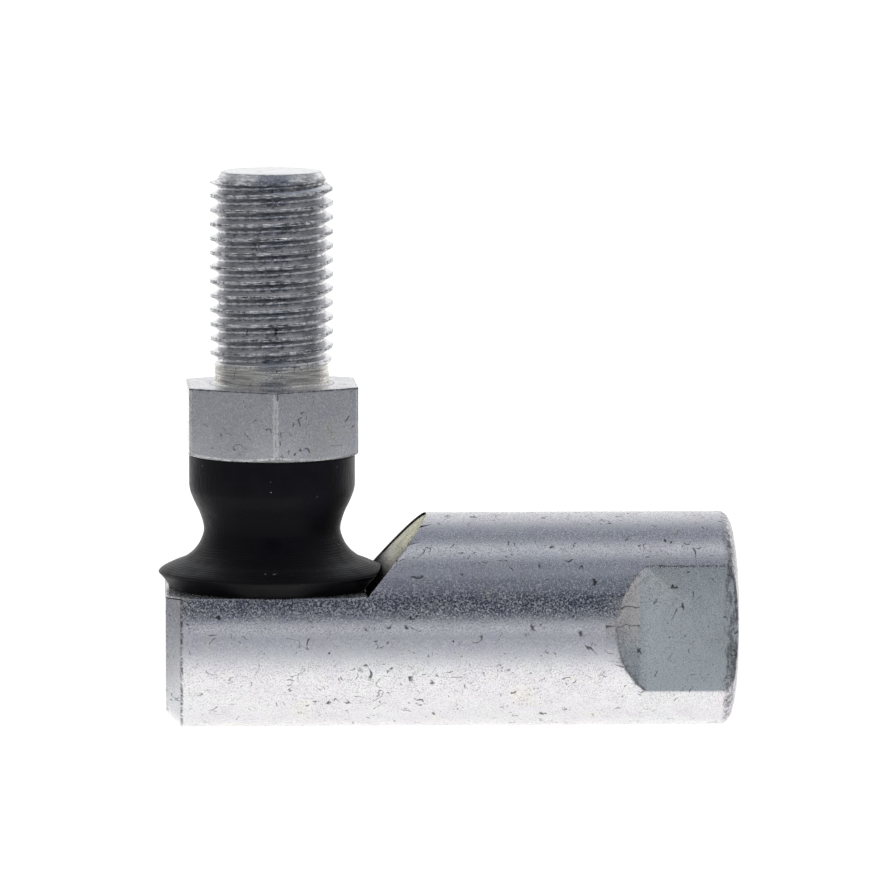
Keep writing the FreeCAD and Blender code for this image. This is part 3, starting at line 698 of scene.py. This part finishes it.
def mouldedRubber(name):
    # Black nitrile rubber from a turned mould: matt with a low soft sheen, faint rings left by the mould's
    # tool, fine folds that run down the neck, a grey bloom in patches and a few specks of dust. The lip's own
    # face, turned down towards the bar, is drawn near black as painted shade.
    material, tree, place = newMaterial(name)
    cloud = addNode(tree, "TexNoise", {}, {"Vector": place, "Scale": 1 / (3.0 * mm), "Detail": 4.0,
        "Roughness": 0.6})
    colour = addNode(tree, "Mix", coloured, {
        "Factor": addNode(tree, "MapRange", eased, {"Value": cloud, "From Min": 0.35, "From Max": 0.75}),
        "A": srgb(rubber["body"]), "B": srgb(rubber["worn"])})
    at = addNode(tree, "SeparateXYZ", {}, {"Vector": place}, "all")
    fromAxis = addNode(tree, "VectorMath", {"operation": "SUBTRACT"}, {0: place, 1: (ballX, 0, 0)})
    flatten = addNode(tree, "VectorMath", {"operation": "MULTIPLY"}, {0: fromAxis, 1: (1, 1, 0)})
    radius = addNode(tree, "VectorMath", {"operation": "LENGTH"}, {0: flatten})
    specks = addNode(tree, "MapRange", eased, {
        "Value": addNode(tree, "TexNoise", {}, {"Vector": place, "Scale": 1 / (0.3 * mm), "Detail": 1.0}),
        "From Min": 0.735, "From Max": 0.76, "To Max": 0.75})
    where = addNode(tree, "MapRange", eased, {
        "Value": addNode(tree, "TexNoise", {}, {"Vector": place, "Scale": 1 / (3.4 * mm), "Detail": 1.0,
            "Roughness": 0.6}), "From Min": 0.6, "From Max": 0.66})
    colour = addNode(tree, "Mix", coloured, {
        "Factor": addNode(tree, "Math", multiply, {0: specks, 1: where}), "A": colour,
        "B": srgb(rubber["dust"])})
    # rings: a wave of the distance along the boot's profile, taken as radius less height
    along = addNode(tree, "Math", subtract, {0: radius, 1: at["Z"]})
    wobble = addNode(tree, "Math", add, {0: along,
        1: addNode(tree, "Math", multiply, {
            0: addNode(tree, "TexNoise", {}, {"Vector": place, "Scale": 1 / (2.0 * mm), "Detail": 3.0,
                "Roughness": 0.6}), 1: 0.4 * mm})})
    rings = addNode(tree, "Math", sine, {
        0: addNode(tree, "Math", multiply, {0: wobble, 1: 2 * math.pi / (rubber["ringPitch"] * mm)})})
    rings = addNode(tree, "Math", multiply, {0: rings,
        1: addNode(tree, "MapRange", eased, {"Value": at["Z"], "From Min": 6.8 * mm, "From Max": 8.5 * mm,
            "To Min": 1.0, "To Max": 0.12})})
    long = addNode(tree, "Mapping", {}, {"Vector": place, "Scale": (1.0, 1.0, 0.14)})
    folds = addNode(tree, "TexNoise", {}, {"Vector": long, "Scale": 1 / (0.22 * mm), "Roughness": 0.6})
    onNeck = addNode(tree, "MapRange", eased, {"Value": at["Z"], "From Min": 6.2 * mm, "From Max": 7.8 * mm})
    grain = addNode(tree, "TexNoise", {}, {"Vector": place, "Scale": 1 / (0.14 * mm), "Detail": 3.0,
        "Roughness": 0.6})
    ringed = addNode(tree, "Bump", {}, {"Height": rings, "Strength": 0.6, "Distance": 12 * mm * mm})
    folded = addNode(tree, "Bump", {}, {"Height": addNode(tree, "Math", multiply, {0: folds, 1: onNeck}),
        "Normal": ringed, "Strength": 1.0, "Distance": 0.035 * mm})
    grainy = addNode(tree, "Bump", {}, {"Height": grain, "Normal": folded, "Strength": 0.5,
        "Distance": 0.015 * mm})
    rough = addNode(tree, "MapRange", eased, {"Value": cloud, "From Min": 0.3, "From Max": 0.7,
        "To Min": rubber["roughness"][0], "To Max": rubber["roughness"][1]})
    # below the lip's tip its own face is drawn near black: painted shade
    outer = addNode(tree, "MapRange", eased, {"Value": at["Z"], "From Min": (rubber["lipTip"] - 0.1) * mm,
        "From Max": (rubber["lipTip"] + 0.02) * mm})
    colour = addNode(tree, "Mix", coloured, {"Factor": outer, "A": srgb(rubber["lip"]), "B": colour})
    colour = addNode(tree, "Mix", coloured, {
        "Factor": addNode(tree, "MapRange", eased, {"Value": rings, "From Min": -1.0, "From Max": 1.0,
            "To Min": 0.25, "To Max": 0.0}), "A": colour, "B": srgb(rubber["lip"])})
    shader = addNode(tree, "BsdfPrincipled", {}, {"Base Color": colour, "Roughness": rough,
        "Normal": grainy, "IOR": 1.5, "Specular IOR Level": rubber["specular"],
        "Sheen Weight": rubber["sheen"], "Sheen Roughness": 0.24})
    addNode(tree, "OutputMaterial", {}, {"Surface": shader})
    return material


boot = {
    # radius and height of the outside, from the lip's tip to the collar, and of the inside, in mm
    "outside": [(10.13, 4.42), (9.80, 4.72), (8.85, 5.18), (7.90, 5.56), (7.30, 5.98), (6.90, 6.36),
                (6.40, 7.1), (6.08, 8.2), (6.39, 9.53), (6.93, 10.7), (7.28, 11.6), (7.385, 12.2)],
    "inside": [(7.4, 4.1), (6.6, 4.75), (6.1, 5.5), (5.98, 6.36), (5.83, 7.1), (5.45, 7.9), (4.95, 8.8),
               (4.9, 10.2), (4.7, 11.4), (4.06, 12.0)],
    "waist": 5,               # the point of the outside where the two pieces meet, and that of the inside
    "insideWaist": 3,
    "bendTop": 9.1,           # above this the collar goes with the stud
    "collarTop": 14.84, "foot": 9.25, "footInside": 8.0, "floor": 3.11,
    "columns": 176,
    "slopeClear": 0.10 * mm,
}


def pressedToSlope(points):
    # where the lip would pass into the housing's slope it is pushed back along the slope's normal, and the
    # rubber near it gives way smoothly
    h = housing
    lean = math.radians(h["slopeAngle"])
    normal = np.array([-math.sin(lean), 0, math.cos(lean)])
    foot = np.array([ballX + h["seatToSlope"], 0, h["seatHeight"]])
    clear = (points - foot) @ normal - boot["slopeClear"]
    soft = 0.25 * mm
    moved = np.where(clear > soft, clear, soft * np.exp(np.minimum(clear / soft - 1, 0)))
    return points + (moved - clear)[..., None] * normal


def makeBoot():
    b = boot
    perSpan = 9
    outer = throughPoints(b["outside"], (len(b["outside"]) - 1) * perSpan + 1)
    inner = throughPoints(b["inside"], (len(b["inside"]) - 1) * perSpan + 1)
    outerWaist, innerWaist = b["waist"] * perSpan, b["insideWaist"] * perSpan
    tip, top = outer[0], b["collarTop"]
    under = np.array([(b["footInside"], b["floor"]), (b["foot"], b["floor"]),
                      (b["foot"] + 0.03, b["floor"] + 0.25), tip - (0.28, 0.34), tip - (0.02, 0.08)])
    wide = outer[-1][0]
    over = np.array([(wide, 13.4), (wide, top - 0.12), (wide - 0.12, top), (inner[-1][0], top)])
    angles = np.linspace(0, 2 * math.pi, b["columns"], endpoint=False)[None, :]
    pieces = []
    for name, profile in (
            ("boot_skirt", np.vstack([under, outer[:outerWaist + 1], inner[innerWaist::-1]])),
            ("boot_collar", np.vstack([outer[outerWaist:], over, inner[:innerWaist - 1:-1]]))):
        profile = profile * mm
        points = pressedToSlope(aroundUp(profile[:, :1], profile[:, 1:], angles))
        pieces.append(surface(name, points, ring=True))
    return pieces


skirt, collar = makeBoot()
blackRubber = mouldedRubber("mouldedNitrileRubber")
for piece in (skirt, collar):
    shade(piece, blackRubber, 40)
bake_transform(skirt)
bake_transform(collar)
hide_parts("dust_boot")
print("boot made")


def springSteel(name):
    # Phosphated spring steel: dark grey, slightly crystalline and oily.
    material, tree, place = newMaterial(name)
    grain = addNode(tree, "TexNoise", {}, {"Vector": place, "Scale": 1 / (0.2 * mm), "Detail": 3.0})
    colour = setRamp(addNode(tree, "ValToRGB", {}, {"Fac": grain}), [
        (0.35, srgb("#3C3D40")), (0.65, srgb("#58595D"))])
    bump = addNode(tree, "Bump", {}, {"Height": grain, "Strength": 0.3, "Distance": 0.01 * mm})
    shader = addNode(tree, "BsdfPrincipled", {}, {"Base Color": colour, "Normal": bump, "Metallic": 1.0,
        "Roughness": 0.42})
    addNode(tree, "OutputMaterial", {}, {"Surface": shader})
    return material


def mouldedAcetal(name):
    # Natural acetal, moulded: milky white with a waxy sheen.
    material, tree, place = newMaterial(name)
    cloud = addNode(tree, "TexNoise", {}, {"Vector": place, "Scale": 1 / (2.5 * mm), "Detail": 2.0})
    colour = setRamp(addNode(tree, "ValToRGB", {}, {"Fac": cloud}), [
        (0.3, srgb("#E4E1D6")), (0.7, srgb("#F0EEE6"))])
    shader = addNode(tree, "BsdfPrincipled", {}, {"Base Color": colour, "Roughness": 0.35, "IOR": 1.48,
        "Subsurface Weight": 0.1, "Subsurface Radius": (0.5 * mm, 0.5 * mm, 0.4 * mm)})
    addNode(tree, "OutputMaterial", {}, {"Surface": shader})
    return material


# the pieces shut inside keep their CAD shapes
darkSteel = springSteel("phosphatedSpringSteel")
acetal = mouldedAcetal("mouldedAcetal")
for name, material in (("lower_race", acetal), ("upper_race", acetal), ("wave_spring", darkSteel),
                       ("snap_ring", darkSteel), ("boot_neck_ring", darkSteel)):
    node = frame["nodes"][name]
    node.data.materials.clear()
    node.data.materials.append(material)
print("inner pieces finished")


view = {
    "target": (ballX + 15.58 * mm, 0, 15.4 * mm),
    "distance": 734 * mm, "azimuth": -2.0, "elevation": 6.4, "lens": 332,
}


def makeCamera():
    camera = bpy.data.cameras.new("camera")
    camera.lens = view["lens"]
    camera.sensor_width = 36
    camera.clip_start = 0.01
    piece = bpy.data.objects.new("camera", camera)
    bpy.context.scene.collection.objects.link(piece)
    azimuth, elevation = math.radians(view["azimuth"]), math.radians(view["elevation"])
    away = np.array([math.sin(azimuth) * math.cos(elevation), -math.cos(azimuth) * math.cos(elevation),
                     math.sin(elevation)])
    piece.location = np.array(view["target"]) + view["distance"] * away
    piece.rotation_euler = (math.pi / 2 - elevation, 0, azimuth)
    bpy.context.scene.camera = piece


# What the metal mirrors is a small light tent of cards and cloth. Over the bar its glow changes with the
# angle up from the front, and at the two sides with the height. The darker cards are a little bluer.
tent = {
    "radius": 0.15, "centreX": -29 * mm,
    "over": [(-180, 1.4), (-125, 1.15), (-90, 1.24), (-60, 1.24), (-46, 1.10), (-36, 0.78), (-26, 0.53),
             (-14, 0.37), (-9, 0.42), (-4, 0.78), (0, 0.72), (4, 0.20), (12, 0.06), (27, 0.03), (33, 0.05),
             (38, 0.21), (44, 0.13), (48, 0.11), (52, 0.28), (60, 0.29), (64, 0.17), (69, 0.17), (74, 0.46),
             (82, 0.66), (90, 0.74), (95, 0.26), (108, 0.22), (120, 0.36), (138, 0.80), (165, 0.98),
             (180, 1.4)],
    "sides": [(-90, 1.0), (-45, 1.05), (-34, 0.90), (-24, 0.60), (-14, 0.45), (-6, 0.38), (4, 0.28),
              (28, 0.27), (60, 0.55), (90, 0.6)],
    "sideFrom": (0.36, 0.50),  # where the side cards begin, as a share of the radius
    "backFrom": (0.30, 0.70),  # and where they give way to the white back
}


def tentGlow(brightness, blueness=1.0):
    green, blue = 1 - 0.065 * blueness, 1 - 0.18 * blueness
    return (brightness, brightness ** green, brightness ** blue, 1.0)


def makeTent():
    t = tent
    polar = np.linspace(0.02, math.pi - 0.02, 48)[:, None]
    angles = np.linspace(0, 2 * math.pi, 96, endpoint=False)[None, :]
    radius = t["radius"]
    points = aroundBar(radius * np.sin(polar), t["centreX"] - radius * np.cos(polar), angles)
    piece = surface("light_tent", points)
    material, tree, place = newMaterial("lightTentCloth")
    centred = addNode(tree, "VectorMath", {"operation": "SUBTRACT"}, {0: place, 1: (t["centreX"], 0, 0)})
    outward = addNode(tree, "VectorMath", {"operation": "NORMALIZE"}, {0: centred})
    split = addNode(tree, "SeparateXYZ", {}, {"Vector": outward}, "all")
    front = addNode(tree, "Math", multiply, {0: split["Y"], 1: -1.0})
    angle = addNode(tree, "Math", arctan, {0: split["Z"], 1: front})
    share = addNode(tree, "MapRange", {}, {"Value": angle, "From Min": -math.pi, "From Max": math.pi,
        "To Min": 0.0, "To Max": 1.0})
    over = setRamp(addNode(tree, "ValToRGB", {}, {"Fac": share}),
        [((degrees + 180) / 360, tentGlow(glow)) for degrees, glow in t["over"]])
    rise = addNode(tree, "Math", arcsine, {0: split["Z"]})
    riseShare = addNode(tree, "MapRange", {}, {"Value": rise, "From Min": -math.pi / 2,
        "From Max": math.pi / 2, "To Min": 0.0, "To Max": 1.0})
    sides = setRamp(addNode(tree, "ValToRGB", {}, {"Fac": riseShare}),
        [((degrees + 90) / 180, tentGlow(glow, 0.4)) for degrees, glow in t["sides"]])
    aside = addNode(tree, "Math", absolute, {0: split["X"]})
    toSide = addNode(tree, "MapRange", eased, {"Value": aside, "From Min": t["sideFrom"][0],
        "From Max": t["sideFrom"][1], "To Min": 0.0, "To Max": 1.0})
    toBack = addNode(tree, "MapRange", eased, {"Value": split["Y"], "From Min": t["backFrom"][0],
        "From Max": t["backFrom"][1], "To Min": 0.0, "To Max": 1.0})
    cloth = addNode(tree, "Mix", coloured, {"Factor": toBack, "A": sides, "B": (1.0, 1.0, 1.0, 1.0)})
    glow = addNode(tree, "Mix", coloured, {"Factor": toSide, "A": over, "B": cloth})
    lamp = addNode(tree, "Emission", {}, {"Color": glow, "Strength": 1.0})
    addNode(tree, "OutputMaterial", {}, {"Surface": lamp})
    piece.data.materials.append(material)
    piece.data.shade_smooth()
    piece.visible_camera = False
    piece.visible_shadow = False


def makeFloor():
    size, level = 3.0, barLow.z - 0.01 * mm
    square = [(-size, -size), (size, -size), (size, size), (-size, size)]
    corners = np.array([(x, y, level) for x, y in square])
    piece = toMesh("floor", corners, [[0, 1, 2, 3]])
    material, tree, place = newMaterial("whiteLightTable")
    matt = addNode(tree, "BsdfDiffuse", {}, {"Color": (0.25, 0.25, 0.25, 1.0)})
    lit = addNode(tree, "Emission", {}, {"Color": (1.0, 1.0, 1.0, 1.0), "Strength": 0.95})
    both = addNode(tree, "AddShader", {}, {0: matt, 1: lit})
    addNode(tree, "OutputMaterial", {}, {"Surface": both})
    piece.data.materials.append(material)
    piece.visible_glossy = False


def makeWorld():
    world = bpy.data.worlds.new("studio")
    bpy.context.scene.world = world
    world.use_nodes = True
    world.node_tree.nodes["Background"].inputs["Color"].default_value = (1.0, 1.0, 1.0, 1.0)
    world.node_tree.nodes["Background"].inputs["Strength"].default_value = 1.0


makeCamera()
makeTent()
makeFloor()
makeWorld()
bpy.context.scene.view_settings.view_transform = "Standard"
print("camera and studio made")
